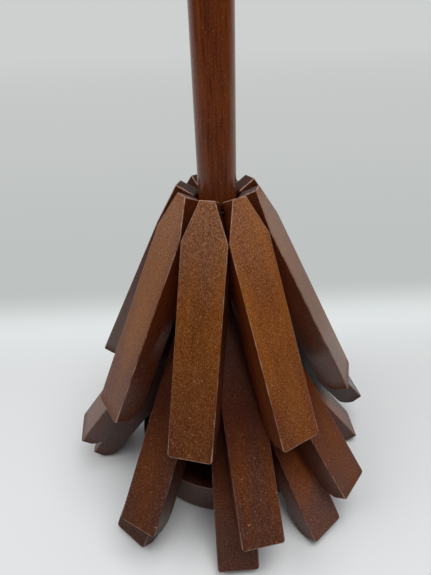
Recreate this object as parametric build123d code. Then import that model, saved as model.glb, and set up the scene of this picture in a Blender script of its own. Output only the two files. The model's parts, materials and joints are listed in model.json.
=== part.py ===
"""Folding mug tree: a round post on a disc base, with three tiers of eight wooden bars.

Each tier's bars are strung on a closed wire ring by their narrow tips. They hang against a conical
collar like a skirt, and swing up until they stand level and their tips close round the post.

Frame: origin on the floor under the post, +Z up, -Y towards the viewer. Sizes are in millimetres and
degrees. Azimuth 0 faces the viewer and turns positive towards +X.
"""
import math
import os

from build123d import *

# Post
post_diameter = 22.0
post_above_upper_hinge = 133.0
post_top_round = 4.0

# Bars
bars_per_tier = 8
bar_length = 146.0
bar_width = 26.5
bar_thickness = 16.0
knuckle_radius = 6.0
end_round = 14.0
end_corner_round = 2.2
edge_ease = 0.8
post_gap = 0.4
neighbour_gap = 0.5

# Hang of each tier, measured from the vertical, and the turn of each tier on the post
upper_hang_angle = 26.9
middle_hang_angle = 37.8
lower_hang_angle = 36.1
upper_turn = -15.0
middle_turn = 8.8
lower_turn = 1.4

# Sideways play of the bars on their ring, one value for each pair of opposite bars
upper_play = [0.6, -0.9, -1.5, 1.9]
middle_play = [1.2, -4.8, -0.5, 4.6]
lower_play = [0.8, -8.2, -0.1, 4.2]

# Gaps that set the heights of the tiers
floor_gap = 2.6
lower_to_middle_gap = 1.5
middle_to_upper_gap = 2.6

# Hinge rings
ring_wire_diameter = 2.0
ring_hole_clearance = 0.35

# Collars and their pins
collar_drop = 8.0
collar_length = 26.0
collar_seat_gap = 0.3
collar_lift_gap = 1.0
collar_bore_clearance = 0.05
collar_edge_ease = 0.6
pin_diameter = 3.0
pin_clearance = 0.02
pin_inset = 1.5

# Base, pad and screw
base_thickness = 26.0
base_edge_round = 1.2
base_skirt_gap = 6.0
socket_depth = 18.0
socket_clearance = 0.05
pad_thickness = 1.5
pad_inset = 4.0
screw_diameter = 4.5
screw_head_diameter = 9.0
screw_head_height = 3.0
screw_length = 38.0
screw_clearance = 0.1
screw_tip_gap = 1.0
screw_slot_width = 1.2
screw_slot_depth = 1.2

# Values that follow from the sizes above
post_radius = post_diameter / 2
hinge_radius = post_radius + post_gap + knuckle_radius
outer_depth = bar_thickness - knuckle_radius
end_reach = bar_length - end_round - knuckle_radius
end_lift = end_round - knuckle_radius
wire_radius = ring_wire_diameter / 2


def sin_deg(angle):
    return math.sin(math.radians(angle))


def cos_deg(angle):
    return math.cos(math.radians(angle))


def tan_deg(angle):
    return math.tan(math.radians(angle))


def from_hinge(along, outward, hang_angle):
    """Radial and vertical offset from the hinge of a point on a hanging bar."""
    radial = along * sin_deg(hang_angle) + outward * cos_deg(hang_angle)
    vertical = -along * cos_deg(hang_angle) + outward * sin_deg(hang_angle)
    return radial, vertical


def lower_hinge_height():
    """The rounded ends of the lower bars stand just off the floor."""
    _, end_centre = from_hinge(end_reach, end_lift, lower_hang_angle)
    return floor_gap + end_round - end_centre


def middle_hinge_height():
    """The middle bars lie over the tips of the lower bars."""
    tip_radial, tip_vertical = from_hinge(-knuckle_radius, outer_depth, lower_hang_angle)
    cover = tip_radial * cos_deg(middle_hang_angle) + knuckle_radius + lower_to_middle_gap
    return lower_hinge_height() + tip_vertical + cover / sin_deg(middle_hang_angle)


def upper_hinge_height():
    """The ends of the upper bars lie over the outer faces of the middle bars."""
    end_radial, end_vertical = from_hinge(end_reach, end_lift, upper_hang_angle)
    cover = outer_depth + end_round + middle_to_upper_gap - end_radial * cos_deg(middle_hang_angle)
    return middle_hinge_height() + cover / sin_deg(middle_hang_angle) - end_vertical


class Tier:
    """One ring of bars: its hinge height, hang angle and the azimuth of every bar."""

    def __init__(self, name, hinge_height, hang_angle, turn, play):
        self.name = name
        self.hinge_height = hinge_height
        self.hang_angle = hang_angle
        step = 360 / bars_per_tier
        self.azimuths = [turn + step * i + play[i % len(play)] for i in range(bars_per_tier)]
        following = self.azimuths[1:] + [self.azimuths[0] + 360]
        self.half_sector = min(b - a for a, b in zip(self.azimuths, following)) / 2

    def half_width_at(self, radius):
        """Half of the width that a bar may have at a radius, beside its nearest neighbour."""
        return radius * tan_deg(self.half_sector) - neighbour_gap / 2

    def wire_sag(self):
        """How far the ring's curve leaves the straight hinge axis across a bar's tip."""
        half_width = self.half_width_at(hinge_radius)
        return hinge_radius - math.sqrt(hinge_radius**2 - half_width**2)

    def seat_radius(self, height, gap=0.0):
        """Radius of the bars' inner faces at a height, less a gap square to the faces."""
        depth = knuckle_radius + gap
        drop = self.hinge_height - depth * sin_deg(self.hang_angle) - height
        return hinge_radius - depth * cos_deg(self.hang_angle) + drop * tan_deg(self.hang_angle)


upper = Tier("upper", upper_hinge_height(), upper_hang_angle, upper_turn, upper_play)
middle = Tier("middle", middle_hinge_height(), middle_hang_angle, middle_turn, middle_play)
lower = Tier("lower", lower_hinge_height(), lower_hang_angle, lower_turn, lower_play)
tiers = [upper, middle, lower]

base_bottom = pad_thickness
base_top = base_bottom + base_thickness
base_radius = lower.seat_radius(base_top, base_skirt_gap)
post_bottom = base_top - socket_depth
post_top = upper.hinge_height + post_above_upper_hinge
tip_reach = math.hypot(knuckle_radius, outer_depth)


def bar_profile():
    """Side view of a level bar about its hinge: rounded knuckle, flat outer face, rounded end."""
    tip = -knuckle_radius
    end = bar_length - knuckle_radius
    inner = -knuckle_radius
    knuckle_middle = knuckle_radius * cos_deg(45)
    end_middle = end_round * cos_deg(45)
    outline = [
        Line((tip, outer_depth), (end, outer_depth)),
        Line((end, outer_depth), (end, inner + end_round)),
        ThreePointArc(
            (end, inner + end_round),
            (end - end_round + end_middle, inner + end_round - end_middle),
            (end - end_round, inner),
        ),
        Line((end - end_round, inner), (0, inner)),
        ThreePointArc((0, inner), (-knuckle_middle, -knuckle_middle), (tip, 0)),
        Line((tip, 0), (tip, outer_depth)),
    ]
    return make_face(outline)


def bar_plan(tier):
    """Outer face of a level bar: a narrow tip that widens to the full width."""
    tip = -knuckle_radius
    end = bar_length - knuckle_radius
    half_tip = tier.half_width_at(hinge_radius - knuckle_radius)
    half_width = bar_width / 2
    shoulder = tip + (half_width - half_tip) / tan_deg(tier.half_sector)
    corners = [
        (tip, -half_tip),
        (shoulder, -half_width),
        (end, -half_width),
        (end, half_width),
        (shoulder, half_width),
        (tip, half_tip),
    ]
    plan = make_face(Polyline(*corners, close=True))
    return fillet(plan.vertices().group_by(Axis.X)[-1], end_corner_round)


def level_bar(tier):
    """A bar lying level along +X, with its hinge axis on the Y axis and its edges eased."""
    side = extrude(Plane.XZ * bar_profile(), bar_width, both=True)
    plan = extrude(bar_plan(tier), bar_length, both=True)
    bar = side & plan
    outer_edges = bar.faces().sort_by(Axis.Z)[-1].edges()
    return fillet(outer_edges, edge_ease)


def sector(tier):
    """The wedge of space round the post that belongs to one bar."""
    apex = neighbour_gap / 2 / sin_deg(tier.half_sector)
    far = 2 * bar_length
    spread = (far - apex) * tan_deg(tier.half_sector)
    wedge = make_face(Polyline((apex, 0), (far, -spread), (far, spread), close=True))
    return extrude(wedge, 2 * post_top, both=True)


def hanging_bar(tier):
    """A bar at rest over the +X axis, drilled for the ring and mitred beside its neighbours.

    Half way down, the knuckle reaches further in than at either end of the swing, so it is mitred there too.
    """
    hole_radius = wire_radius + tier.wire_sag() / 2 + ring_hole_clearance
    bar = level_bar(tier) - Cylinder(hole_radius, 2 * bar_width, rotation=(90, 0, 0))
    hinge = Pos(hinge_radius, 0, tier.hinge_height)
    half_swing = Rot(0, (90 - tier.hang_angle) / 2, 0)
    for _ in ("half way", "hanging"):
        bar = half_swing * bar
        bar = bar & hinge.inverse() * sector(tier)
    return hinge * bar


def hinge_ring(tier):
    """The closed wire that strings a tier's bars together."""
    ring_radius = hinge_radius + tier.wire_sag() / 2
    return Pos(0, 0, tier.hinge_height) * Torus(ring_radius, wire_radius)


def collar_span(tier):
    """Bottom and top height of a tier's collar."""
    top = tier.hinge_height - collar_drop
    bottom = top - collar_length
    if tier is middle:
        bottom = lower.hinge_height + tip_reach + collar_lift_gap
    return bottom, top


def pin_height(tier):
    bottom, top = collar_span(tier)
    return (bottom + top) / 2


def cross_hole(height):
    """Room for a pin that goes through the post from side to side."""
    hole = Cylinder(pin_diameter / 2 + pin_clearance, 4 * base_radius, rotation=(0, 90, 0))
    return Pos(0, 0, height) * hole


def collar(tier):
    """Turned cone that the hanging bars of a tier lean on."""
    bottom, top = collar_span(tier)
    bore = post_radius + collar_bore_clearance
    low_radius = tier.seat_radius(bottom, collar_seat_gap)
    high_radius = tier.seat_radius(top, collar_seat_gap)
    section = Polyline((bore, bottom), (low_radius, bottom), (high_radius, top), (bore, top), close=True)
    cone = revolve(Plane.XZ * make_face(section), Axis.Z)
    rims = cone.edges().filter_by(GeomType.CIRCLE).sort_by(SortBy.RADIUS)[-2:]
    return fillet(rims, collar_edge_ease) - cross_hole(pin_height(tier))


def collar_pin(tier):
    """Steel pin that fixes a collar to the post, with both ends below the cone."""
    height = pin_height(tier)
    half_length = tier.seat_radius(height + pin_diameter / 2, collar_seat_gap) - pin_inset
    return Pos(0, 0, height) * Cylinder(pin_diameter / 2, 2 * half_length, rotation=(0, 90, 0))


def post():
    """Plain round dowel, domed at the top, with a pilot hole for the base screw."""
    rod = Pos(0, 0, post_bottom) * extrude(Circle(post_radius), post_top - post_bottom)
    rod = fillet(rod.edges().sort_by(Axis.Z)[-1], post_top_round)
    pilot_depth = base_bottom + screw_length + screw_tip_gap - post_bottom
    pilot = extrude(Circle(screw_diameter / 2 + screw_clearance), pilot_depth)
    rod -= Pos(0, 0, post_bottom) * pilot
    for tier in tiers:
        rod -= cross_hole(pin_height(tier))
    return rod


def base():
    """Turned disc with a socket for the post and a countersunk hole for the screw."""
    disc = Pos(0, 0, base_bottom) * extrude(Circle(base_radius), base_thickness)
    disc = fillet(disc.edges(), base_edge_round)
    socket = extrude(Circle(post_radius + socket_clearance), socket_depth)
    disc -= Pos(0, 0, post_bottom) * socket
    shank_hole = extrude(Circle(screw_diameter / 2 + screw_clearance), base_thickness)
    disc -= Pos(0, 0, base_bottom) * shank_hole
    return disc - screw_head(screw_clearance)


def screw_head(grow):
    """Countersunk head flush with the underside of the base, grown by a clearance."""
    wide = screw_head_diameter / 2 + grow
    narrow = screw_diameter / 2 + grow
    cone = Cone(wide, narrow, screw_head_height, align=(Align.CENTER, Align.CENTER, Align.MIN))
    return Pos(0, 0, base_bottom) * cone


def base_screw():
    """Slotted wood screw that draws the post down into its socket."""
    shank = Pos(0, 0, base_bottom) * extrude(Circle(screw_diameter / 2), screw_length)
    shank = chamfer(shank.edges().sort_by(Axis.Z)[-1], screw_diameter / 4)
    slot = Box(screw_slot_width, screw_head_diameter, 2 * screw_slot_depth)
    return shank + screw_head(0.0) - Pos(0, 0, base_bottom) * slot


def base_pad():
    """Felt disc under the base that covers the screw."""
    return extrude(Circle(base_radius - pad_inset), pad_thickness)


def make_nodes():
    nodes = {
        "post": post(),
        "base": base(),
        "base_screw": base_screw(),
        "base_pad": base_pad(),
    }
    for tier in tiers:
        nodes[f"{tier.name}_collar"] = collar(tier)
        nodes[f"{tier.name}_collar_pin"] = collar_pin(tier)
        nodes[f"{tier.name}_hinge_ring"] = hinge_ring(tier)
        bar = hanging_bar(tier)
        for number, azimuth in enumerate(tier.azimuths, start=1):
            nodes[f"{tier.name}_bar_{number}"] = Rot(0, 0, azimuth - 90) * bar
    return nodes


os.makedirs("parts", exist_ok=True)
for node_name, shape in make_nodes().items():
    export_step(shape, f"parts/{node_name}.step")

for tier in tiers:
    print(
        f"{tier.name}: hinge height {tier.hinge_height:.2f}, radius {hinge_radius:.2f}, "
        f"hang {tier.hang_angle}, half sector {tier.half_sector:.2f}, azimuths "
        + ", ".join(f"{a:.1f}" for a in tier.azimuths)
    )
print(f"base radius {base_radius:.2f}, post top {post_top:.2f}")
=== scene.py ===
# %% [markdown]
# # A folding mug tree of dark stained wood
#
# The object is a round post on a disc base. Three tiers of eight stout wooden bars hang round it like a
# skirt. Each bar is strung on a wire ring by its narrow tip, so it can swing up until it stands level.
# The solids come from CAD with their bodies and joints, and they are loaded first. Everything that is
# modelled here goes where they are, in metres, with +Z up.

# %% Load the frame
import json
import math

import bmesh
import bpy
from mathutils import Matrix, Vector


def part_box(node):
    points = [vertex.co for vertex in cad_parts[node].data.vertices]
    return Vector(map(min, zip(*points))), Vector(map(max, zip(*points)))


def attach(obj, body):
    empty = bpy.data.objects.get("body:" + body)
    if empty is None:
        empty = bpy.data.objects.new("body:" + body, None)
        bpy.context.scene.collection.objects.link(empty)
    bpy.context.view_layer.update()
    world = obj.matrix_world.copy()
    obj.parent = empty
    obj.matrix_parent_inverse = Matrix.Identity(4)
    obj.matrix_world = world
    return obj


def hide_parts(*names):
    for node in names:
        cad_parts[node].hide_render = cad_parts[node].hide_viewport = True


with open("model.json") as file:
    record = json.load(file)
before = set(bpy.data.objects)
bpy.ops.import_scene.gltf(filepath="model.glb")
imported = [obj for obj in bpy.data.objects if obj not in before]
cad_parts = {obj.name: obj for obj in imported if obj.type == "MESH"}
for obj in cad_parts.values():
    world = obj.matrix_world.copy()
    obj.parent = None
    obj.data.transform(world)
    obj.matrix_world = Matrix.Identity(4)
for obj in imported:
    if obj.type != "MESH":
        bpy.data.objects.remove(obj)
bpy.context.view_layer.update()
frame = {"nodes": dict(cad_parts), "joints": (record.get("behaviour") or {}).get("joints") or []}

bpy.ops.object.select_all(action="DESELECT")

# %% [markdown]
# ## Where the bars hang
#
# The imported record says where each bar's hinge is and how far it swings up. The hang of a tier, the
# turn of every bar round the post and the room that a bar has beside its neighbours all follow from
# that, so nothing is typed twice.

# %% Read the hinges
MM = 0.001
TIERS = ["upper", "middle", "lower"]


def lift_joints(tier):
    """The hinges of one tier's bars, in the order of their numbers."""
    return [j for j in frame["joints"] if j["name"].startswith(f"{tier}_bar_")]


def azimuth_of(joint):
    """Turn of a bar round the post in degrees: 0 faces the viewer, positive towards +X."""
    x, y, _ = joint["pos_m"]
    return math.degrees(math.atan2(x, -y)) % 360


def half_sector_of(tier):
    """Half of the smallest angle between two neighbours of a tier, in degrees."""
    turns = sorted(azimuth_of(j) for j in lift_joints(tier))
    following = turns[1:] + [turns[0] + 360]
    return min(b - a for a, b in zip(turns, following)) / 2


swing = {tier: lift_joints(tier)[0]["range_deg"][1] for tier in TIERS}
half_sector = {tier: half_sector_of(tier) for tier in TIERS}
hinge_radius = Vector(lift_joints("upper")[0]["pos_m"]).xy.length
for tier in TIERS:
    print(f"{tier} tier: swing {swing[tier]:.1f} degrees, half sector {half_sector[tier]:.2f} degrees")
print(f"hinge radius {hinge_radius / MM:.2f} mm")

# %% [markdown]
# ## Tools for edit mode
#
# A joiner makes a bar from a plain length of wood by sawing it with straight cuts and easing its edges.
# The same is done here: bisect saws, bevel eases. An operator works on what is selected, so two small
# helpers select edges and faces by where they are.

# %% Helpers that select, saw and bevel
def begin_edit(piece):
    """Makes a piece the only selected object and opens it in edit mode."""
    bpy.ops.object.select_all(action="DESELECT")
    piece.select_set(True)
    bpy.context.view_layer.objects.active = piece
    bpy.ops.object.mode_set(mode="EDIT")


def end_edit():
    """Closes the piece that is open in edit mode."""
    bpy.ops.object.mode_set(mode="OBJECT")


def select_edges(piece, wanted):
    """Selects the edges that pass a test, and returns how many there are."""
    bpy.ops.mesh.select_mode(type="EDGE")
    bpy.ops.mesh.select_all(action="DESELECT")
    mesh = bmesh.from_edit_mesh(piece.data)
    chosen = [edge for edge in mesh.edges if wanted(edge)]
    for edge in chosen:
        edge.select_set(True)
    bmesh.update_edit_mesh(piece.data)
    return len(chosen)


def select_faces(piece, wanted):
    """Selects the faces that pass a test."""
    bpy.ops.mesh.select_mode(type="FACE")
    bpy.ops.mesh.select_all(action="DESELECT")
    mesh = bmesh.from_edit_mesh(piece.data)
    mesh.normal_update()
    for face in mesh.faces:
        if wanted(face):
            face.select_set(True)
    bmesh.update_edit_mesh(piece.data)


def saw_off(point, normal):
    """Saws the open piece with a plane and throws away the side that the normal points to."""
    bpy.ops.mesh.select_all(action="SELECT")
    bpy.ops.mesh.bisect(plane_co=point, plane_no=normal, use_fill=True, clear_outer=True)


def ease(width, segments):
    """Rounds the selected edges of the open piece."""
    bpy.ops.mesh.bevel(offset=width, segments=segments, affect="EDGES", clamp_overlap=False)


def all_ends(edge, test):
    """True if both ends of an edge pass a test on their place."""
    return all(test(end.co) for end in edge.verts)


def near(value, wanted, slack=0.02 * MM):
    """True if two lengths are the same but for rounding."""
    return abs(value - wanted) < slack


print("edit tools are ready")

# %% [markdown]
# ## One bar of a tier
#
# The real bar is a stick of hardwood about 26 by 16 mm, with a flat outer face. Its lower end is
# rounded on the inner side. Its upper end narrows to a tip, and is rounded round the hinge on the inner
# side. The tip's flanks are mitred, so that eight tips close round the post like slices of a cake.
#
# It could be drawn as a profile and extruded. Sawing it from a block keeps every face flat and every
# size exact, and the mitres come from the very planes that part one bar from the next. The bar lies
# level while it is made, with its hinge on the Y axis.

# %% Sizes of a bar
bar_length = 146.0 * MM
bar_width = 26.5 * MM
bar_thickness = 16.0 * MM
knuckle_radius = 6.0 * MM
end_round = 14.0 * MM
corner_round = 2.2 * MM
edge_ease = 0.8 * MM
inner_ease = 0.5 * MM
tip_ease = 0.5 * MM
neighbour_gap = 0.5 * MM
wire_radius = 1.0 * MM
hole_clearance = 0.35 * MM
round_cuts = 11
mitre_stops = (0, 0.5, 1)

bar_tip = -knuckle_radius
bar_end = bar_length - knuckle_radius
bar_inner = -knuckle_radius
bar_outer = bar_thickness - knuckle_radius
half_width = bar_width / 2
print(f"a bar reaches from {bar_tip / MM:.0f} to {bar_end / MM:.0f} mm along its length")


# %% Saw a bar from a block
def rounding_angles():
    """Even steps over a quarter turn, in radians."""
    return [math.pi / 2 * (i + 1) / (round_cuts + 1) for i in range(round_cuts)]


def saw_end():
    """Rounds the lower end on its inner side."""
    centre = Vector((bar_end - end_round, 0, bar_inner + end_round))
    for angle in rounding_angles():
        outward = Vector((math.sin(angle), 0, -math.cos(angle)))
        saw_off(centre + end_round * outward, outward)


def saw_knuckle():
    """Rounds the tip about the hinge on its inner side."""
    for angle in rounding_angles():
        outward = Vector((-math.sin(angle), 0, -math.cos(angle)))
        saw_off(knuckle_radius * outward, outward)


def saw_mitres(tier):
    """Keeps a bar between its neighbours when it is level, half way down and hanging."""
    half = math.radians(half_sector[tier])
    inward = math.sin(half)
    reach = (hinge_radius * inward - neighbour_gap / 2) / math.cos(half)
    for share in mitre_stops:
        down = math.radians(swing[tier] * share)
        for side in (-1, 1):
            normal = (-math.cos(down) * inward, side * math.cos(half), -math.sin(down) * inward)
            saw_off(Vector((0, side * reach, 0)), Vector(normal))


def block_for_bar(tier):
    """A plain block of wood at a bar's size, with its hinge on the Y axis."""
    middle = ((bar_tip + bar_end) / 2, 0, (bar_inner + bar_outer) / 2)
    bpy.ops.mesh.primitive_cube_add(size=1, location=middle, scale=(bar_length, bar_width, bar_thickness))
    bar = bpy.context.object
    bar.name = f"{tier}_bar_pattern"
    bpy.ops.object.transform_apply(location=True, rotation=True, scale=True)
    return bar


def is_end_corner(edge):
    """True for the two upright edges of the block's lower end."""
    upright = near(edge.verts[0].co.y, edge.verts[1].co.y)
    return upright and all_ends(edge, lambda p: near(p.x, bar_end) and near(abs(p.y), half_width))


def saw_bar(tier):
    """A bar of a tier with its rounded end, knuckle and mitred tip."""
    bar = block_for_bar(tier)
    begin_edit(bar)
    select_edges(bar, is_end_corner)
    ease(corner_round, segments=5)
    saw_end()
    saw_knuckle()
    saw_mitres(tier)
    end_edit()
    return bar


patterns = {tier: saw_bar(tier) for tier in TIERS}
for tier, bar in patterns.items():
    print(f"{tier} pattern: {len(bar.data.polygons)} faces")

# %% [markdown]
# ## Eased edges
#
# No edge on the object is sharp: the outer edges are eased by about a millimetre, and years of handling
# have worn them a little. The bevels come in three goes, because each set of edges has its own width:
# first the corners of the tip, then the edge all round the outer face, then the long inner edges with
# the curve of the end.

# %% Ease the edges of a bar
tip_corner_least = 5.0 * MM
rounding_slack = 0.01 * MM
sharp_radians = 0.8


def is_tip_corner(edge):
    """True for the upright corners of the tip's end face."""
    upright = abs(edge.verts[0].co.z - edge.verts[1].co.z) > tip_corner_least
    return upright and all_ends(edge, lambda p: near(p.x, bar_tip))


def is_outer_rim(edge):
    """True for the edges all round the outer face."""
    return all_ends(edge, lambda p: near(p.z, bar_outer)) and len(edge.link_faces) == 2


def is_inner_rim(edge):
    """True for the long inner edges, as far as the corners of the end."""
    highest = bar_outer - 2 * edge_ease
    furthest = bar_end - corner_round + rounding_slack
    inside = all_ends(edge, lambda p: p.z < highest and p.x < furthest)
    beside = all_ends(edge, lambda p: near(abs(p.y), half_width))
    return inside and beside and edge.calc_face_angle(0) > sharp_radians


def ease_bar(bar):
    """Bevels the tip's corners, the outer rim and the inner edges of a bar."""
    begin_edit(bar)
    counts = [select_edges(bar, is_tip_corner)]
    ease(tip_ease, segments=2)
    counts.append(select_edges(bar, is_outer_rim))
    ease(edge_ease, segments=3)
    counts.append(select_edges(bar, is_inner_rim))
    ease(inner_ease, segments=2)
    end_edit()
    return counts


for tier, bar in patterns.items():
    print(f"{tier} pattern: edges eased at tip, rim and inside {ease_bar(bar)}")

# %% [markdown]
# ## The hole for the ring
#
# A wire ring goes through every tip. The hole is drilled with a Boolean modifier, whose cutter is a
# plain rod. The ring is round and the hole is straight, so the hole is a little wider than the wire.

# %% Drill the tips
drill_sides = 40


def hole_radius(tier):
    """Room for a wire that curves across the width of the tip."""
    half_tip = hinge_radius * math.tan(math.radians(half_sector[tier])) - neighbour_gap / 2
    sag = hinge_radius - math.sqrt(hinge_radius**2 - half_tip**2)
    return wire_radius + sag / 2 + hole_clearance


def apply_modifiers(piece):
    """Makes every modifier of a piece part of its mesh."""
    bpy.ops.object.select_all(action="DESELECT")
    piece.select_set(True)
    bpy.context.view_layer.objects.active = piece
    for modifier in list(piece.modifiers):
        bpy.ops.object.modifier_apply(modifier=modifier.name)


def drill_tip(bar, tier):
    """Takes a rod out of a bar's tip, along its hinge."""
    bpy.ops.object.select_all(action="DESELECT")
    bpy.ops.mesh.primitive_cylinder_add(
        vertices=drill_sides, radius=hole_radius(tier), depth=2 * bar_width, rotation=(math.pi / 2, 0, 0)
    )
    drill = bpy.context.object
    cut = bar.modifiers.new("hole", "BOOLEAN")
    cut.operation = "DIFFERENCE"
    cut.solver = "EXACT"
    cut.object = drill
    apply_modifiers(bar)
    bpy.data.objects.remove(drill)


for tier, bar in patterns.items():
    drill_tip(bar, tier)
    print(f"{tier} pattern: hole {2 * hole_radius(tier) / MM:.2f} mm wide, {len(bar.data.polygons)} faces")

# %% [markdown]
# ## Smooth light on flat faces
#
# Smooth shading would bend the light over the wide flat faces, because their corners belong to the
# bevels too. The Weighted Normal modifier lets the wide faces decide, so they stay flat and only the
# bevels look round.

# %% Shade a piece
smooth_limit = math.radians(40)


def shade(piece):
    """Smooth curves, flat faces and true edges."""
    bpy.ops.object.select_all(action="DESELECT")
    piece.select_set(True)
    bpy.context.view_layer.objects.active = piece
    bpy.ops.object.shade_smooth_by_angle(angle=smooth_limit)
    weigh = piece.modifiers.new("flat faces", "WEIGHTED_NORMAL")
    weigh.keep_sharp = True
    apply_modifiers(piece)


for tier, bar in patterns.items():
    shade(bar)
    print(f"{tier} pattern shaded")

# %% [markdown]
# ## Every bar keeps its own grain
#
# All the bars are cut from the same kind of stick, but no two have the same figure, and some took the
# stain lighter than others. For the bars that face the viewer, the listed lightness also holds painted
# light and shade: higher where a bar would mirror the pale floor, lower where it lies in shade. Each
# mesh remembers where its points lay in the level bar, a number of its own and that lightness. The
# finish reads all three, so the grain follows a bar wherever it hangs, and starts at another place on
# each.

# %% Place the bars
# Lightness of the bars that face the viewer. It is partly their stain's tone and partly painted light and
# shade: higher where a bar would mirror the pale floor, lower where it lies in shade.
bar_tones_and_painted_light = {
    "upper_bar_1": 0.9, "upper_bar_2": 1.3, "upper_bar_8": 1.08,
    "middle_bar_1": 1.06, "middle_bar_2": 1.3, "middle_bar_3": 0.5,
    "middle_bar_7": 1.25, "middle_bar_8": 0.86,
    "lower_bar_1": 1.12, "lower_bar_2": 1.7, "lower_bar_3": 1.8, "lower_bar_7": 1.35,
}
other_shade = 1.0
other_spread = 0.1
other_step = 2.2


def tone_and_light_of(node, number):
    """How light a bar is: its tone, with painted light and shade on the listed bars. The rest differ a
    little from one to the next.
    """
    return bar_tones_and_painted_light.get(node, other_shade + other_spread * math.cos(other_step * number))


def remember_grain(bar, number, tone_with_light):
    """Stores each point's place in the level bar, the bar's number and its lightness, painted light and
    shade included.
    """
    mesh = bar.data
    place = mesh.attributes.new("bar_place", "FLOAT_VECTOR", "POINT")
    flat = [c for v in mesh.vertices for c in v.co]
    place.data.foreach_set("vector", flat)
    for name, value in {"bar_number": number, "bar_tone_and_painted_light": tone_with_light}.items():
        own = mesh.attributes.new(name, "FLOAT", "POINT")
        own.data.foreach_set("value", [float(value)] * len(mesh.vertices))


def hang_bar(pattern, joint, number):
    """A copy of a tier's pattern, hung at its hinge."""
    bpy.ops.object.select_all(action="DESELECT")
    pattern.select_set(True)
    bpy.context.view_layer.objects.active = pattern
    bpy.ops.object.duplicate()
    bar = bpy.context.object
    remember_grain(bar, number, tone_and_light_of(joint["child"], number))
    down = math.radians(joint["range_deg"][1])
    turn = math.radians(azimuth_of(joint) - 90)
    bar.rotation_euler = (0, down, turn)
    bar.location = joint["pos_m"]
    bpy.ops.object.transform_apply(location=True, rotation=True, scale=True)
    return bar


bars = {tier: [] for tier in TIERS}
number = 0
for tier in TIERS:
    for joint in lift_joints(tier):
        number += 1
        bar = hang_bar(patterns[tier], joint, number)
        node = joint["child"]
        bar.name = f"{node}_wood"
        bar.data.name = bar.name
        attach(bar, node)
        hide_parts(node)
        bars[tier].append(bar)
    bpy.data.objects.remove(patterns[tier])
print(f"{number} bars hang at their hinges")

# %% [markdown]
# ## The post
#
# The post is a plain dowel with a softly rounded top. A cylinder at its size, a bevel round the top
# edge and the pilot hole for the screw in its foot make it. Many sides keep its outline round close up.

# %% Turn the post
post_low, post_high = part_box("post")
post_radius = (post_high.x - post_low.x) / 2
post_top_round = 4.0 * MM
pilot_radius = 2.35 * MM
pilot_depth = 31.0 * MM
post_sides = 128


def add_rod(name, radius, bottom, top, sides):
    """A round block of wood standing on the axis of the post."""
    bpy.ops.object.select_all(action="DESELECT")
    bpy.ops.mesh.primitive_cylinder_add(
        vertices=sides, radius=radius, depth=top - bottom, location=(0, 0, (top + bottom) / 2)
    )
    rod = bpy.context.object
    rod.name = name
    rod.data.name = name
    bpy.ops.object.transform_apply(location=True, rotation=True, scale=True)
    return rod


def sink_hole(piece, height, facing, radius_now, radius, depth):
    """Insets the flat end face at a height and pushes its middle in, as a drill would."""
    select_faces(piece, lambda f: near(f.calc_center_median().z, height) and f.normal.z * facing > 0.9)
    bpy.ops.mesh.inset(thickness=radius_now - radius)
    bpy.ops.mesh.extrude_region_move(TRANSFORM_OT_translate={"value": (0, 0, -facing * depth)})


def make_post():
    """The dowel with its rounded top and the pilot hole in its foot."""
    post = add_rod("post_wood", post_radius, post_low.z, post_high.z, post_sides)
    begin_edit(post)
    select_edges(post, lambda e: all_ends(e, lambda p: near(p.z, post_high.z)))
    ease(post_top_round, segments=8)
    sink_hole(post, post_low.z, -1, post_radius, pilot_radius, pilot_depth)
    end_edit()
    shade(post)
    return post


post = make_post()
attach(post, "stand")
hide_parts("post")
print(f"post {2 * post_radius / MM:.0f} mm thick, top at {post_high.z / MM:.0f} mm")

# %% [markdown]
# ## The base
#
# The base is a turned disc with slightly eased edges. It has a socket for the foot of the post and a
# countersunk hole for the screw below. Both are made with inset and extrude on the end faces.

# %% Turn the base
base_low, base_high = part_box("base")
base_radius = (base_high.x - base_low.x) / 2
base_ease = 1.2 * MM
socket_clearance = 0.05 * MM
socket_radius = post_radius + socket_clearance
socket_depth = base_high.z - post_low.z
screw_head_radius = 4.6 * MM
screw_head_height = 3.0 * MM
base_sides = 192


def is_disc_edge(edge):
    """True for the two round edges of the disc."""
    level = near(edge.verts[0].co.z, edge.verts[1].co.z)
    return level and all_ends(edge, lambda p: near(p.z, base_high.z) or near(p.z, base_low.z))


def make_base():
    """The disc with its socket above and its countersink below."""
    base = add_rod("base_wood", base_radius, base_low.z, base_high.z, base_sides)
    begin_edit(base)
    select_edges(base, is_disc_edge)
    ease(base_ease, segments=4)
    flat_radius = base_radius - base_ease
    sink_hole(base, base_high.z, 1, flat_radius, socket_radius, socket_depth)
    sink_hole(base, base_low.z, -1, flat_radius, screw_head_radius, screw_head_height)
    taper = pilot_radius / screw_head_radius
    bpy.ops.transform.resize(value=(taper, taper, 1))
    end_edit()
    shade(base)
    return base


base = make_base()
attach(base, "stand")
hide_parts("base")
print(f"base {2 * base_radius / MM:.1f} mm across, {(base_high.z - base_low.z) / MM:.0f} mm thick")

# %% [markdown]
# ## Writing finishes as sums
#
# A finish is a board of shader nodes. One small class stands for a number that changes over the
# surface, and Python's own operators on it add Math nodes, so that a mask reads like a formula. One
# method adds any other node.

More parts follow.
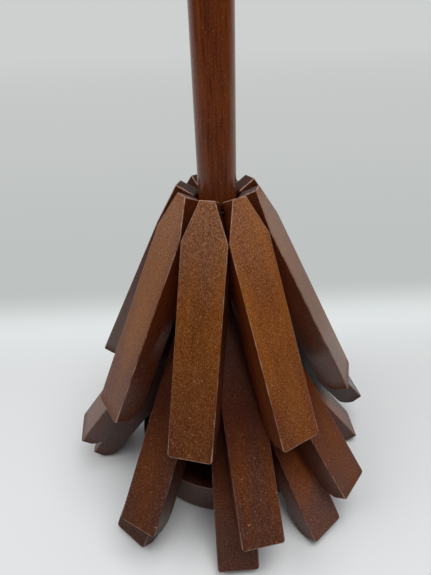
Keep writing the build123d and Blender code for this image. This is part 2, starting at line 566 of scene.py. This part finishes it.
# %% Classes for finishes
class Tone:
    """A number that changes over a surface."""

    def __init__(self, finish, socket):
        self.finish = finish
        self.socket = socket

    def __add__(self, other):
        return self.finish.math("ADD", self, other)

    def __sub__(self, other):
        return self.finish.math("SUBTRACT", self, other)

    def __rsub__(self, other):
        return self.finish.math("SUBTRACT", other, self)

    def __mul__(self, other):
        return self.finish.math("MULTIPLY", self, other)

    def __abs__(self):
        return self.finish.math("ABSOLUTE", self, 0)

    __radd__ = __add__
    __rmul__ = __mul__

    def least(self, other):
        """The smaller of two numbers."""
        return self.finish.math("MINIMUM", self, other)

    def most(self, other):
        """The larger of two numbers."""
        return self.finish.math("MAXIMUM", self, other)

    def ramp(self, start, end):
        """0 below start, 1 above end, and a soft step between."""
        sockets = {"Value": self, "From Min": start, "From Max": end}
        made = self.finish.node("ShaderNodeMapRange", {"interpolation_type": "SMOOTHSTEP"}, sockets)
        return Tone(self.finish, made.outputs["Result"])


class Board:
    """A board of shader nodes that are written as sums."""

    def __init__(self, tree):
        self.tree = tree
        self.tree.nodes.clear()

    def node(self, kind, settings=None, sockets=None):
        """Adds a node: its type, its settings, then the values or links of its sockets."""
        made = self.tree.nodes.new(kind)
        for key, value in (settings or {}).items():
            setattr(made, key, value)
        for key, value in (sockets or {}).items():
            self.feed(made.inputs[key], value)
        return made

    def feed(self, socket, value):
        """Links a socket to a tone or another socket, or sets its value."""
        if isinstance(value, Tone):
            value = value.socket
        if isinstance(value, bpy.types.NodeSocket):
            self.tree.links.new(value, socket)
        else:
            socket.default_value = value

    def math(self, operation, a, b):
        """A new tone from one sum."""
        made = self.node("ShaderNodeMath", {"operation": operation}, {0: a, 1: b})
        return Tone(self, made.outputs[0])

    def attribute(self, name, output):
        """What the mesh remembers under a name."""
        made = self.node("ShaderNodeAttribute", {"attribute_name": name})
        return made.outputs[output]

    def stretched(self, place, scale, offset=(0, 0, 0)):
        """A place times a scale in each direction, plus an offset."""
        longer = self.node("ShaderNodeVectorMath", {"operation": "MULTIPLY"}, {0: place, 1: scale})
        moved = self.node("ShaderNodeVectorMath", {"operation": "ADD"}, {0: longer.outputs[0], 1: offset})
        return moved.outputs[0]

    def parts(self, place):
        """The three numbers of a place."""
        made = self.node("ShaderNodeSeparateXYZ", {}, {0: place})
        return [Tone(self, made.outputs[i]) for i in range(3)]

    def noise(self, place, scale=1.0, detail=2.0, roughness=0.5):
        """Soft random patches from 0 to 1, about 0.5 on the whole."""
        sockets = {"Vector": place, "Scale": scale, "Detail": detail, "Roughness": roughness}
        made = self.node("ShaderNodeTexNoise", {"noise_dimensions": "3D"}, sockets)
        return Tone(self, made.outputs[0])

    def blend(self, share, a, b):
        """Colour a where the share is 0 and colour b where it is 1."""
        made = self.node("ShaderNodeMix", {"data_type": "RGBA"}, {0: share, 6: a, 7: b})
        return made.outputs[2]

    def glazed(self, share, colour, tint):
        """A colour seen through a thin coat of a second one, whose share says how thick the coat is."""
        settings = {"data_type": "RGBA", "blend_type": "MULTIPLY"}
        made = self.node("ShaderNodeMix", settings, {0: share, 6: colour, 7: tint})
        return made.outputs[2]

    def dimmed(self, colour, share):
        """A colour whose light is multiplied by a tone."""
        made = self.node("ShaderNodeVectorMath", {"operation": "SCALE"}, {0: colour, "Scale": share})
        return made.outputs[0]

    def from_axis(self, x, y):
        """Distance from the axis of the post."""
        flat = self.node("ShaderNodeCombineXYZ", {}, {0: x, 1: y})
        made = self.node("ShaderNodeVectorMath", {"operation": "LENGTH"}, {0: flat.outputs[0]})
        return Tone(self, made.outputs["Value"])


class Finish(Board):
    """A material on a board of its own."""

    def __init__(self, name):
        self.material = bpy.data.materials.new(name)
        self.material.use_nodes = True
        super().__init__(self.material.node_tree)
        self.shader = self.node("ShaderNodeBsdfPrincipled")
        self.node("ShaderNodeOutputMaterial", {}, {"Surface": self.shader.outputs["BSDF"]})

    def place(self):
        """Object coordinates in millimetres."""
        return self.stretched(self.node("ShaderNodeTexCoord").outputs["Object"], (1 / MM,) * 3)

    def bump(self, height, strength, distance):
        """Lets a tone raise and sink the surface."""
        sockets = {"Strength": strength, "Distance": distance, "Height": height}
        self.feed(self.shader.inputs["Normal"], self.node("ShaderNodeBump", {}, sockets).outputs[0])

    def set(self, **sockets):
        """Sets sockets of the shader, with _ for a space in their names."""
        for key, value in sockets.items():
            self.feed(self.shader.inputs[key.replace("_", " ")], value)


def shade_of(red, green, blue):
    """A colour as a paint chart gives it, 0 to 255, turned into the light that Blender works with."""
    def linear(c):
        c = c / 255
        return c / 12.92 if c <= 0.04045 else ((c + 0.055) / 1.055) ** 2.4
    return (linear(red), linear(green), linear(blue), 1.0)


print("finishes can be written as sums")

# %% [markdown]
# ## Stained and lacquered wood
#
# The wood is pale underneath, stained a warm red-brown and sealed with a satin lacquer. Close up it has
# long soft bands, fine fibres along the length, a dense mottle of short flecks and a few pale specks. The
# pale flecks and specks are partly the wood's own and partly painted glints of the lacquer.
# An image of wood could be laid on it, but noise that is stretched along the grain has no seams and no
# end. It is worked out in millimetres, because then the size of a fleck can be compared with a ruler: a
# scale of 2 means about two flecks to a millimetre.

# %% Stain and grain
STAIN_PORE = shade_of(36, 14, 8)
STAIN_COOL = shade_of(74, 45, 37)
STAIN_MID = shade_of(95, 47, 17)
STAIN_WARM = shade_of(124, 69, 14)
DARK_FLECK = shade_of(62, 17, 2)
PALE_FLECK_AND_GLINT = shade_of(188, 145, 112)

band_scale = (0.012, 0.07, 0.07)
fibre_scale = (0.06, 1.1, 1.1)
fleck_scale = (1.15, 2.2, 2.2)
speck_scale = (0.8, 0.8, 0.8)
speck_shift = (31, 17, 5)
band_strength = 1.1
fibre_share = 0.45
dark_fleck_share = 0.55
pale_fleck_and_glint_share = 0.34
speck_share = 0.5


def stain(finish, place, warmth, flecks=1.0):
    """Colour and height of stained wood whose grain runs along the first direction of a place."""
    band = finish.noise(finish.stretched(place, band_scale))
    fibre = finish.noise(finish.stretched(place, fibre_scale), detail=3.0, roughness=0.6)
    fleck = finish.noise(finish.stretched(place, fleck_scale), detail=1.0, roughness=0.6)
    speck = finish.noise(finish.stretched(place, speck_scale, speck_shift), detail=0.0)
    warm = (band - 0.5) * band_strength + warmth
    colour = finish.blend(warm.ramp(-0.05, 0.5), STAIN_COOL, STAIN_MID)
    colour = finish.blend(warm.ramp(0.4, 1.0), colour, STAIN_WARM)
    colour = finish.blend(fibre.ramp(0.55, 0.8) * fibre_share, colour, STAIN_PORE)
    colour = finish.blend((0.5 - fleck).ramp(0.0, 0.16) * dark_fleck_share * flecks, colour, DARK_FLECK)
    # Pale flecks and specks: flecks of the wood, with painted glints of the lacquer in them.
    colour = finish.blend((fleck - 0.5).ramp(0.0, 0.3) * pale_fleck_and_glint_share * flecks, colour, PALE_FLECK_AND_GLINT)
    colour = finish.blend(speck.ramp(0.8, 0.86) * speck_share, colour, PALE_FLECK_AND_GLINT)
    return colour, fleck * 0.7 - fibre * 0.3


print(f"the stain's flecks are about {1 / fleck_scale[1]:.1f} mm wide")

# %% Lacquer
coat_roughness = 0.22
wood_specular = 0.15
grain_roughness = 0.12
worn_roughness = 0.12
worn_coat = 0.6
grain_strength = 0.3
grain_height = 0.25 * MM


def lacquer(finish, grain, wear, gloss, dullness=0.36):
    """Satin lacquer as thick as the gloss says, thin on worn edges, with the grain just felt through it."""
    roughness = dullness + grain * grain_roughness + wear * worn_roughness
    finish.set(Roughness=roughness, Coat_Weight=gloss * (1 - wear * worn_coat))
    finish.set(Coat_Roughness=coat_roughness, Specular_IOR_Level=wood_specular)
    finish.bump(grain, grain_strength, grain_height)


print(f"the grain stands {grain_height / MM:.2f} mm high under the lacquer")

# %% [markdown]
# ## How the bars have aged, and their painted light and shade
#
# The bars haven't aged evenly. Their tips are dusty, and a painted sheen lies there too. The flanks are
# glazed darker, partly as a deeper stain and partly as painted shade, and painted shade also darkens the
# inner parts of the flanks, the gaps between the tips and whatever lies under other bars. A Mix node that
# multiplies works like a glaze there: it darkens and reddens the wood, and the grain still shows through,
# which a plain dark colour would hide. The edges are rubbed to a dull pinkish tan. That wear follows the
# distance to the nearest edge, broken up by noise, so that it never looks like a drawn line.
#
# All of it depends on where a point lies on its bar: how far from the tip, the end, the outer face and
# the nearest edge. So these distances are worked out first, and every step of the finish then asks for
# what it needs.

# %% Distances on a bar
grain_shift = (211.0, 37.0, 53.0)
# Length from the tip that carries dust and a painted sheen.
dust_and_sheen_length = 60.0
flank_span = (0.25, 0.8)


class BarSpot:
    """Where a point lies on its bar, as tones in millimetres."""

    def __init__(self, finish, tier):
        level = finish.stretched(finish.attribute("bar_place", "Vector"), (1 / MM,) * 3)
        number = Tone(finish, finish.attribute("bar_number", "Fac"))
        shift = {i: number * step for i, step in enumerate(grain_shift)}
        moved = finish.node("ShaderNodeCombineXYZ", {}, shift)
        self.grain_place = finish.stretched(level, (1, 1, 1), moved.outputs[0])
        # The bar's lightness: its own tone, with painted light and shade on the bars that face the viewer.
        self.tone_and_light = Tone(finish, finish.attribute("bar_tone_and_painted_light", "Fac"))
        self.along, self.across, up = finish.parts(level)
        self.depth = bar_outer / MM - up
        self.to_end = bar_end / MM - self.along
        self.from_ends = self.to_end.least(self.along - bar_tip / MM)
        self.near_tip = 1 - self.along.ramp(0.0, dust_and_sheen_length)
        self.beside = self.depth.ramp(*flank_span)
        self.edge = self.to_nearest_edge(tier)

    def to_nearest_edge(self, tier):
        """The nearest eased edge: the rim of the outer face, or an upright corner."""
        half = math.radians(half_sector[tier])
        aside = abs(self.across)
        to_mitre = (self.along + hinge_radius / MM) * math.sin(half) - neighbour_gap / 2 / MM
        flank = (half_width / MM - aside).least(to_mitre - aside * math.cos(half))
        rim = self.depth.most(flank.least(self.from_ends))
        return rim.least(flank.most(self.from_ends))


# The first stretch from the tip carries dust and a painted sheen.
print(f"distances run over {bar_length / MM:.0f} mm of a bar, the first {dust_and_sheen_length:.0f} mm dusty")

# %% Outer faces, with dust and a painted sheen at the tips
DUST_AND_SHEEN = shade_of(168, 132, 112)
cool_length = 75.0
end_cooling = 0.3
pale_span = (8.0, 40.0)
# More flecks near the tip, whose pale part stands for painted glints there.
tip_flecks_and_glints = 0.2
dust_and_sheen_depth = (0.3, 2.0)
dust_and_sheen_grain = (-0.1, 0.7)
dust_and_sheen_share = 0.44


def outer_stain_and_sheen(finish, spot, warmth, pale_warmth, flecks):
    """Colour and height of the wood: cooler at the end, dust and painted sheen at the tip, warmer on a
    paler bar.
    """
    warming = spot.to_end.ramp(0.0, cool_length) * end_cooling + warmth
    warming = warming + spot.to_end.ramp(*pale_span) * (spot.tone_and_light - 1) * pale_warmth
    colour, grain = stain(finish, spot.grain_place, warming, flecks * (1 + spot.near_tip * tip_flecks_and_glints))
    # The bar's lightness, painted light and shade included, scales its colour.
    colour = finish.dimmed(colour, spot.tone_and_light)
    # Dust at the tip with a painted sheen: the pale grey also stands for light caught near the top of the
    # bar.
    dust_and_sheen = spot.near_tip * (1 - spot.depth.ramp(*dust_and_sheen_depth)) * grain.ramp(*dust_and_sheen_grain)
    return finish.blend(dust_and_sheen * dust_and_sheen_share, colour, DUST_AND_SHEEN), grain


print(f"the stain is coolest at the end and at its warmest from {cool_length:.0f} mm on")

# %% Flanks and the wood below other bars, with painted shade
# A deeper stain, used as a glaze for painted shade on the flanks and below other bars.
STAIN_AND_SHADE_GLAZE = (0.45, 0.12, 0.0, 1.0)
END_GRAIN = shade_of(62, 42, 34)
glaze_length = 90.0
glaze_at_end = 0.4
glaze_further_up = 0.35
inner_shade_span = (6.0, 15.0)
inner_shade_glaze = 0.2
flank_shade_dimming = 0.15
inner_shade_dimming = 0.25
tip_gap_shade_span = (10.0, 40.0)
tip_gap_shade_dimming = 0.3
below_bar_shade_dimming = 0.4
end_grain_span = (0.15, 0.7)
end_grain_share = 0.6


def flank_stain_and_painted_shade(finish, spot, colour):
    """Deeper stain and painted shade on the flanks, thinner at the end, more shade inside and between tips.
    """
    # Painted shade that deepens towards the inner face, and painted shade in the gaps between the tips.
    inside = spot.depth.ramp(*inner_shade_span)
    shade_between_tips = spot.beside * (1 - spot.along.ramp(*tip_gap_shade_span))
    # The glaze, deeper stain and painted shade, thins towards the end of the bar.
    thickness = spot.to_end.ramp(0.0, glaze_length) * glaze_further_up + glaze_at_end
    colour = finish.glazed(spot.beside * thickness + inside * inner_shade_glaze, colour, STAIN_AND_SHADE_GLAZE)
    painted_flank_shade = spot.beside * flank_shade_dimming + inside * inner_shade_dimming + shade_between_tips * tip_gap_shade_dimming
    return finish.dimmed(colour, 1 - painted_flank_shade)


def painted_shade_below_bars(finish, colour, shade_below):
    """Painted shade on the wood below other bars: a dark glaze and less light."""
    return finish.dimmed(finish.glazed(shade_below, colour, STAIN_AND_SHADE_GLAZE), 1 - shade_below * below_bar_shade_dimming)


def end_grain(finish, spot, colour):
    """The duller wood of the two end faces."""
    share = (1 - spot.from_ends.ramp(*end_grain_span)) * end_grain_share
    return finish.blend(share, colour, END_GRAIN)


print(f"the glaze on the flanks is {glaze_at_end} thick at the end")

# %% Wear and the finish of each tier
BARE_EDGE = shade_of(170, 138, 122)
below_bar_shade_span = (30.0, 85.0)
below_bar_matt = 0.9
gloss_span = (1.0, 10.0)
patch_scale = (0.1, 0.3, 0.3)
patch_middle = 0.42
patch_reach = 1.5
handled_length = 14.0
handled_reach = 0.4
tip_reach = 0.15
wear_span = (-0.1, 0.4)


def edge_wear(finish, spot):
    """1 where an edge is rubbed bare: in patches, and most of all near the end and the tip."""
    patch = finish.noise(finish.stretched(spot.grain_place, patch_scale), detail=3.0, roughness=0.75)
    handled = 1 - spot.to_end.ramp(0.0, handled_length)
    reach = (patch - patch_middle) * patch_reach + handled * handled_reach + spot.near_tip * tip_reach
    return 1 - (spot.edge - reach).ramp(*wear_span)


def bar_wood(tier, warmth, pale_warmth, flecks, below_bar_shade, worn, outer_gloss, side_gloss):
    """The wood of one tier's bars, from the stain to the lacquer."""
    finish = Finish(f"{tier}_bar_wood")
    spot = BarSpot(finish, tier)
    # Painted shade on the part of a bar that lies below other bars.
    shade_below = spot.to_end.ramp(*below_bar_shade_span) * below_bar_shade
    wear = edge_wear(finish, spot)
    colour, grain = outer_stain_and_sheen(finish, spot, warmth, pale_warmth, flecks)
    colour = flank_stain_and_painted_shade(finish, spot, colour)
    colour = painted_shade_below_bars(finish, colour, shade_below)
    colour = end_grain(finish, spot, colour)
    finish.set(Base_Color=finish.blend(wear * worn, colour, BARE_EDGE))
    gloss = outer_gloss + spot.beside * (side_gloss - outer_gloss) - shade_below * outer_gloss * below_bar_matt
    lacquer(finish, grain, wear, spot.from_ends.ramp(*gloss_span) * gloss)
    return finish.material


def dress(piece, material):
    """Gives a piece one finish all over."""
    piece.data.materials.clear()
    piece.data.materials.append(material)


tier_looks = {
    "upper": {"warmth": 0.5, "pale_warmth": 0.0, "flecks": 1.0, "below_bar_shade": 0.0, "worn": 0.8,
              "outer_gloss": 0.35, "side_gloss": 0.95},
    "middle": {"warmth": 0.22, "pale_warmth": 0.0, "flecks": 0.8, "below_bar_shade": 0.7, "worn": 0.5,
               "outer_gloss": 0.4, "side_gloss": 0.45},
    "lower": {"warmth": 0.0, "pale_warmth": 0.42, "flecks": 0.7, "below_bar_shade": 0.7, "worn": 0.4,
              "outer_gloss": 0.15, "side_gloss": 0.3},
}
for tier in TIERS:
    wood = bar_wood(tier, **tier_looks[tier])
    for bar in bars[tier]:
        dress(bar, wood)
    print(f"{wood.name} on {len(bars[tier])} bars")

# %% [markdown]
# ## Turned wood
#
# The post, the base and the collars are turned on a lathe from the same wood. On the post the grain
# runs upright in long darker streaks. On the disc it runs across, so the rim shows it as short flecks.
# Object coordinates are enough here, because these pieces don't hang at an angle.

# %% Finish of the post and the turned pieces
POST_RED = shade_of(104, 38, 12)
INWARD_SHADE_STAIN = shade_of(64, 11, 0)
post_warmth = 0.6
post_flecks = 0.6
post_red_share = 0.5
streak_scale = (0.05, 0.7, 0.7)
streak_share = 0.5
post_gloss = 0.6
post_dullness = 0.24
disc_warmth = 0.1
disc_gloss = 0.3
rim_patch_scale = (0.2, 0.2, 0.2)
inward_shade_span = (1.5, 10.0)
inward_shade_share = 0.75
inward_shade_dimming = 0.5
post_worn = 0.4
disc_worn = 0.75


def upright_wood():
    """The dowel: long dark streaks along its height and a glossier lacquer."""
    finish = Finish("post_wood")
    x, y, z = finish.parts(finish.place())
    turned = finish.node("ShaderNodeCombineXYZ", {}, {0: z, 1: x, 2: y}).outputs[0]
    colour, grain = stain(finish, turned, post_warmth, post_flecks)
    streak = finish.noise(finish.stretched(turned, streak_scale), detail=3.0, roughness=0.65)
    colour = finish.blend(post_red_share, colour, POST_RED)
    colour = finish.blend((streak - 0.5).ramp(0.0, 0.2) * streak_share, colour, STAIN_PORE)
    colour = finish.blend((0.5 - streak).ramp(0.0, 0.2) * streak_share, colour, STAIN_WARM)
    below_top = post_high.z / MM - z
    from_side = post_radius / MM - finish.from_axis(x, y)
    wear = 1 - below_top.most(from_side - 2.0).ramp(0.0, 1.2)
    finish.set(Base_Color=finish.blend(wear * post_worn, colour, BARE_EDGE))
    lacquer(finish, grain, wear, post_gloss, post_dullness)
    return finish.material


def across_wood(name, radius, low, high):
    """A turned disc or cone whose grain runs from side to side, worn along its rims, with painted shade
    further in.
    """
    finish = Finish(name)
    place = finish.place()
    x, y, z = finish.parts(place)
    colour, grain = stain(finish, place, disc_warmth)
    from_side = radius / MM - finish.from_axis(x, y)
    from_end = (high / MM - z).least(z - low / MM)
    patch = finish.noise(finish.stretched(place, rim_patch_scale), detail=3.0, roughness=0.7)
    wear = 1 - (from_side.most(from_end) - patch).ramp(-0.2, 0.5)
    # Painted shade further in from the rim, where the bars hang over the base and the collars.
    inward_shade = from_side.ramp(*inward_shade_span)
    colour = finish.blend(inward_shade * inward_shade_share, colour, INWARD_SHADE_STAIN)
    colour = finish.dimmed(colour, 1 - inward_shade * inward_shade_dimming)
    finish.set(Base_Color=finish.blend(wear * disc_worn, colour, BARE_EDGE))
    lacquer(finish, grain, wear, disc_gloss)
    return finish.material


dress(post, upright_wood())
dress(base, across_wood("base_wood", base_radius, base_low.z, base_high.z))
for tier in TIERS:
    name = f"{tier}_collar"
    low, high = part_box(name)
    dress(frame["nodes"][name], across_wood(f"{name}_wood", (high.x - low.x) / 2, low.z, high.z))
print("post, base and collars are stained")

# %% [markdown]
# ## Steel and felt
#
# The rings, the pins and the screw are dark, oiled steel with fine drawing marks. The felt under the
# base is a short matted nap, seen only when the tree is tipped over. These are the CAD solids
# themselves with a better finish.

# %% Finish of the small parts
STEEL_DARK = shade_of(22, 19, 17)
STEEL_PALE = shade_of(42, 38, 34)
FELT_DARK = shade_of(34, 30, 28)
FELT_PALE = shade_of(78, 70, 64)
mark_scale = (3.0, 3.0, 9.0)
haze_scale = 0.25
steel_roughness = 0.42
mark_roughness = 0.25
nap_scale = 2.2
cloud_scale = 0.12


def drawn_steel():
    """Dark, oiled wire with a haze and fine marks from drawing."""
    finish = Finish("drawn_steel")
    place = finish.place()
    marks = finish.noise(finish.stretched(place, mark_scale), detail=3.0, roughness=0.6)
    haze = finish.noise(place, haze_scale)
    colour = finish.blend(haze, STEEL_DARK, STEEL_PALE)
    finish.set(Base_Color=colour, Metallic=1.0, Roughness=steel_roughness + marks * mark_roughness)
    finish.bump(marks, strength=0.1, distance=0.05 * MM)
    return finish.material


def matted_felt():
    """A short nap of dark grey wool in soft clouds."""
    finish = Finish("matted_felt")
    place = finish.place()
    nap = finish.noise(place, nap_scale, detail=4.0, roughness=0.7)
    cloud = finish.noise(place, cloud_scale)
    colour = finish.blend(nap * 0.7 + cloud * 0.3, FELT_DARK, FELT_PALE)
    finish.set(Base_Color=colour, Roughness=0.95)
    finish.bump(nap, strength=0.5, distance=0.4 * MM)
    return finish.material


steel = drawn_steel()
for name in ["base_screw"] + [f"{t}_{part}" for t in TIERS for part in ("hinge_ring", "collar_pin")]:
    dress(frame["nodes"][name], steel)
dress(frame["nodes"]["base_pad"], matted_felt())
print("steel and felt are on the small parts")

# %% [markdown]
# ## The floor
#
# A sheet of pale paper carries the shadow. Behind the object it begins to rise, with a bright strip at
# the bend and a greyer slope above. A bent sheet would do it for one view only, so the floor stays flat
# and the tones are painted on it as light of their own, which the lamps don't change. A Light Path node
# shows them to the camera and to mirrored rays alone. Far away on every side they end in the tone of
# the room, so that no view has a hard horizon.
#
# The satin flanks mirror the floor in front of the object too. A painted shade darkens the floor there
# for mirrored rays alone, as the viewer's own shade would.

# %% Lay the floor
ROOM_TONE = shade_of(205, 208, 207)
PAPER_LIT = shade_of(236, 238, 239)
PAPER_BEND = shade_of(229, 234, 234)
PAPER_SLOPE = shade_of(190, 194, 193)
PAPER_ABOVE = shade_of(196, 199, 198)
BLACK = (0, 0, 0, 1)
floor_size = 8.0
painted_span = (0.06, 0.2)
slope_span = (0.14, 0.24)
above_span = (0.25, 1.0)
room_span = (0.9, 3.8)
away_span = (0.3, 0.8)
in_shade_span = (0.2, 0.38)
in_shade_share = 0.85
view_widening = 0.5
dim_direction = (0.17, -0.98)

bpy.ops.object.select_all(action="DESELECT")
bpy.ops.mesh.primitive_plane_add(size=floor_size, location=(0, 0, 0))
floor = bpy.context.object
floor.name = "floor"


def paper():
    """Lit paper near the object. Behind it and far away, a painted tone that lamps don't change."""
    finish = Finish("pale_paper")
    x, y, _ = finish.parts(finish.node("ShaderNodeTexCoord").outputs["Object"])
    path = finish.node("ShaderNodeLightPath")
    mirrored = Tone(finish, path.outputs["Is Glossy Ray"])
    viewed = Tone(finish, path.outputs["Is Camera Ray"])
    away = (abs(x) - y * view_widening).most(y * -1.0).ramp(*away_span)
    painted = (y.ramp(*painted_span) * mirrored.most(viewed)).most(away * viewed)
    tone = finish.blend(y.ramp(*slope_span), PAPER_BEND, PAPER_SLOPE)
    tone = finish.blend(y.ramp(*above_span), tone, PAPER_ABOVE)
    tone = finish.blend(y.ramp(*room_span).most(away), tone, ROOM_TONE)
    # Painted shade on the floor in front of the object, seen only by mirrored rays.
    in_front = x * dim_direction[0] + y * dim_direction[1]
    in_shade = in_front.ramp(*in_shade_span) * mirrored
    lit = finish.blend(in_shade * in_shade_share, PAPER_LIT, BLACK)
    finish.set(Base_Color=finish.blend(painted, lit, BLACK), Roughness=0.9)
    finish.set(Emission_Color=finish.blend(painted, BLACK, tone), Emission_Strength=1.0)
    finish.set(Specular_IOR_Level=0.0)
    return finish.material


dress(floor, paper())
print(f"floor {floor_size:.0f} m wide")

# %% [markdown]
# ## Light
#
# The object stands in a bright room with soft light from above. Two wide area lamps give that, a strong
# one high on the right and a weaker one on the left. A pale world fills the shadows and is what the
# satin faces mirror. It is dim low down in front, where the viewer stands.

# %% Set the lights
lamp_distance = 0.85
lamp_aim = (0, 0, 0.12)
lamps = {
    "high_lamp": {"azimuth": 40.0, "height": 74.0, "size": 0.55, "power": 3.4},
    "left_lamp": {"azimuth": -70.0, "height": 56.0, "size": 0.5, "power": 1.5},
}
bright_side = 0.42
dim_side = 0.02


def around(azimuth, height, distance):
    """A place round the object: the turn from the viewer, the angle above the floor and the distance."""
    out = math.cos(math.radians(height)) * distance
    turn = math.radians(azimuth)
    return Vector((out * math.sin(turn), -out * math.cos(turn), math.sin(math.radians(height)) * distance))


def add_lamp(name, place, aim, size, power):
    """A round lamp that shines from a place at an aim, and that the camera doesn't see."""
    bpy.ops.object.select_all(action="DESELECT")
    bpy.ops.object.light_add(type="AREA", location=place)
    lamp = bpy.context.object
    lamp.name = name
    lamp.rotation_euler = (Vector(aim) - Vector(place)).to_track_quat("-Z", "Y").to_euler()
    lamp.data.shape = "DISK"
    lamp.data.size = size
    lamp.data.energy = power
    lamp.visible_camera = False


def pale_room():
    """Bright above, behind and beside the object, and dim in front of it below the height of the viewer."""
    world = bpy.data.worlds.new("pale_room")
    world.use_nodes = True
    room = Board(world.node_tree)
    _, y, z = room.parts(room.node("ShaderNodeTexCoord").outputs["Generated"])
    dim = (1 - y.ramp(0.0, 0.6)) * (1 - z.ramp(0.3, 0.7))
    path = room.node("ShaderNodeLightPath")
    side = room.blend(path.outputs["Is Glossy Ray"], (bright_side,) * 3 + (1,), ROOM_TONE)
    light = room.blend(dim, side, (dim_side,) * 3 + (1,))
    colour = room.blend(path.outputs["Is Camera Ray"], light, ROOM_TONE)
    glow = room.node("ShaderNodeBackground", {}, {"Color": colour, "Strength": 1.0})
    room.node("ShaderNodeOutputWorld", {}, {"Surface": glow.outputs[0]})
    return world


for name, lamp in lamps.items():
    place = around(lamp["azimuth"], lamp["height"], lamp_distance)
    add_lamp(name, place, lamp_aim, lamp["size"], lamp["power"])
    print(f"{name}: {lamp['power']} W at {lamp['azimuth']} degrees")
bpy.context.scene.world = pale_room()
print(f"room from {dim_side} to {bright_side}")

# %% [markdown]
# ## Camera
#
# The camera looks down on the object from the front. Its place, tilt and lens were found by fitting the
# corners of the bars to the picture, so it is set by numbers and not by eye.

# %% Set the camera
eye = Vector((-4.0, -239.1, 308.7)) * MM
yaw = math.radians(0.2)
pitch = math.radians(33.27)
roll = math.radians(-2.26)
focal_pixels = 434.1
image_height = 575
sensor_height = 24.0

bpy.ops.object.select_all(action="DESELECT")
bpy.ops.object.camera_add(location=eye)
camera = bpy.context.object
camera.name = "camera"
ahead = Vector((math.sin(yaw) * math.cos(pitch), math.cos(yaw) * math.cos(pitch), -math.sin(pitch)))
level_right = Vector((math.cos(yaw), -math.sin(yaw), 0))
level_up = level_right.cross(ahead)
right = math.cos(roll) * level_right + math.sin(roll) * level_up
up = math.cos(roll) * level_up - math.sin(roll) * level_right
turn = Matrix((right, up, -ahead)).transposed()
camera.rotation_euler = turn.to_euler()
camera.data.sensor_fit = "VERTICAL"
camera.data.sensor_height = sensor_height
camera.data.lens = focal_pixels / image_height * sensor_height
camera.data.clip_start = 0.01
bpy.context.scene.camera = camera
bpy.context.scene.view_settings.view_transform = "Standard"
print(f"lens {camera.data.lens:.2f} mm on a sensor {sensor_height:.0f} mm high")
